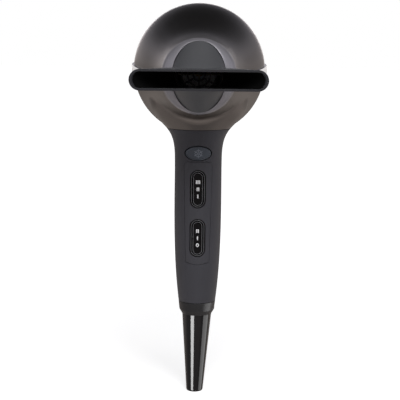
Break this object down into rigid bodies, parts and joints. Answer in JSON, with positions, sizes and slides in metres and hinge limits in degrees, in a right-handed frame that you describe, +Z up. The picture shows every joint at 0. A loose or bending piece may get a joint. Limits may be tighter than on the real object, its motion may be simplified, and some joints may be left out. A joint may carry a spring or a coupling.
{
  "type": "hair dryer",
  "caption": "Hand-held hair dryer with a bell-shaped head, wide flat slot nozzle, rocker switches and a cool-shot button on the grip, rear filter cap and tapered swivel cord sleeve.",
  "frame": {"origin": "on the grip axis at the middle of the hand hold", "axes": "+Z up along the grip towards the head, -Y the way the air leaves the nozzle, +X across"},
  "size_m": [0.1042, 0.2086, 0.2925],
  "materials": {
    "pearl_housing": "pearl metallic, semi-gloss",
    "chrome_trim": "polished",
    "soft_touch": "soft-touch matte",
    "panel_matte": "fine matte",
    "gloss_black": "high gloss",
    "button_grey": "semi-gloss",
    "white_print": "printed",
    "nozzle_matte": "fine grained matte",
    "collar_satin": "satin pearl",
    "black_moulding": "matte",
    "mica": "layered, semi-matte",
    "heater_wire": "drawn",
    "spring_steel": "drawn",
    "zinc_steel": "zinc plated",
    "sintered_bronze": "sintered",
    "magnet_ferrite": "sintered",
    "lamination": "stacked sheet",
    "board_green": "solder resist",
    "component_body": "moulded",
    "rubber_black": "matte",
    "lead_insulation": "matte"
  },
  "bodies": {
    "dryer": {"head_shell": "pearl_housing", "side_trim_right": "chrome_trim", "side_trim_left": "chrome_trim", "grip_front_shell": "soft_touch", "grip_rear_shell": "soft_touch", "control_panel": "panel_matte", "heat_bezel": "gloss_black", "speed_bezel": "gloss_black", "heat_switch_body": "black_moulding", "speed_switch_body": "black_moulding", "cool_shot_spring": "spring_steel", "cool_shot_switch": "black_moulding", "circuit_board": "board_green", "board_components": "component_body", "outlet_ring": "black_moulding", "outlet_grille": "black_moulding", "heater_tube": "mica", "mica_cross": "mica", "heating_coil": "heater_wire", "thermostat": "zinc_steel", "thermal_fuse": "zinc_steel", "ion_module": "black_moulding", "motor_can": "zinc_steel", "motor_end_cap": "black_moulding", "motor_bearings": "sintered_bronze", "motor_magnets": "magnet_ferrite", "motor_rubber_mount": "rubber_black", "fan_shroud": "black_moulding", "rear_ring": "black_moulding", "cord_collar": "gloss_black", "grip_screws": "zinc_steel", "cord_clamp": "black_moulding", "supply_leads": "lead_insulation", "heater_leads": "lead_insulation"},
    "heat_key": {"heat_rocker": "gloss_black", "heat_marks": "white_print"},
    "speed_key": {"speed_rocker": "gloss_black", "speed_marks": "white_print"},
    "cool_key": {"cool_shot_button": "button_grey"},
    "nozzle_ring": {"nozzle_sleeve": "black_moulding"},
    "nozzle": {"nozzle_body": "nozzle_matte", "nozzle_collar": "collar_satin"},
    "rotor": {"fan_impeller": "black_moulding", "motor_shaft": "spring_steel", "motor_armature": "lamination"},
    "filter_cap": {"filter_rim": "pearl_housing", "filter_mesh": "zinc_steel", "rear_grille": "black_moulding"},
    "cord_swivel": {"cord_sleeve": "gloss_black", "sleeve_retaining_ring": "spring_steel"}
  },
  "joints": [
    {"name": "heat_rock", "type": "hinge", "parent": "dryer", "child": "heat_key", "pos_m": [0, -0.0145, 0.0104], "axis": [1, 0, 0], "range_deg": [-7, 7]},
    {"name": "speed_rock", "type": "hinge", "parent": "dryer", "child": "speed_key", "pos_m": [0, -0.0145, -0.026], "axis": [1, 0, 0], "range_deg": [-7, 7]},
    {"name": "cool_press", "type": "slide", "parent": "dryer", "child": "cool_key", "axis": [0, 1, 0], "range_m": [0, 0.0014], "stiffness_N_per_m": 500, "springref_m": -0.0016, "deforming": ["cool_shot_spring"]},
    {"name": "nozzle_pull", "type": "slide", "parent": "dryer", "child": "nozzle_ring", "axis": [0, -1, 0], "range_m": [0, 0.016]},
    {"name": "nozzle_turn", "type": "hinge", "parent": "nozzle_ring", "child": "nozzle", "pos_m": [0, -0.08, 0.096], "axis": [0, -1, 0], "continuous": true},
    {"name": "fan_spin", "type": "hinge", "parent": "dryer", "child": "rotor", "pos_m": [0, 0.045, 0.096], "axis": [0, 1, 0], "continuous": true},
    {"name": "filter_pull", "type": "slide", "parent": "dryer", "child": "filter_cap", "axis": [0, 1, 0], "range_m": [0, 0.014]},
    {"name": "sleeve_swivel", "type": "hinge", "parent": "dryer", "child": "cord_swivel", "pos_m": [0, -0.0015, -0.1], "axis": [0, 0, 1], "continuous": true}
  ]
}
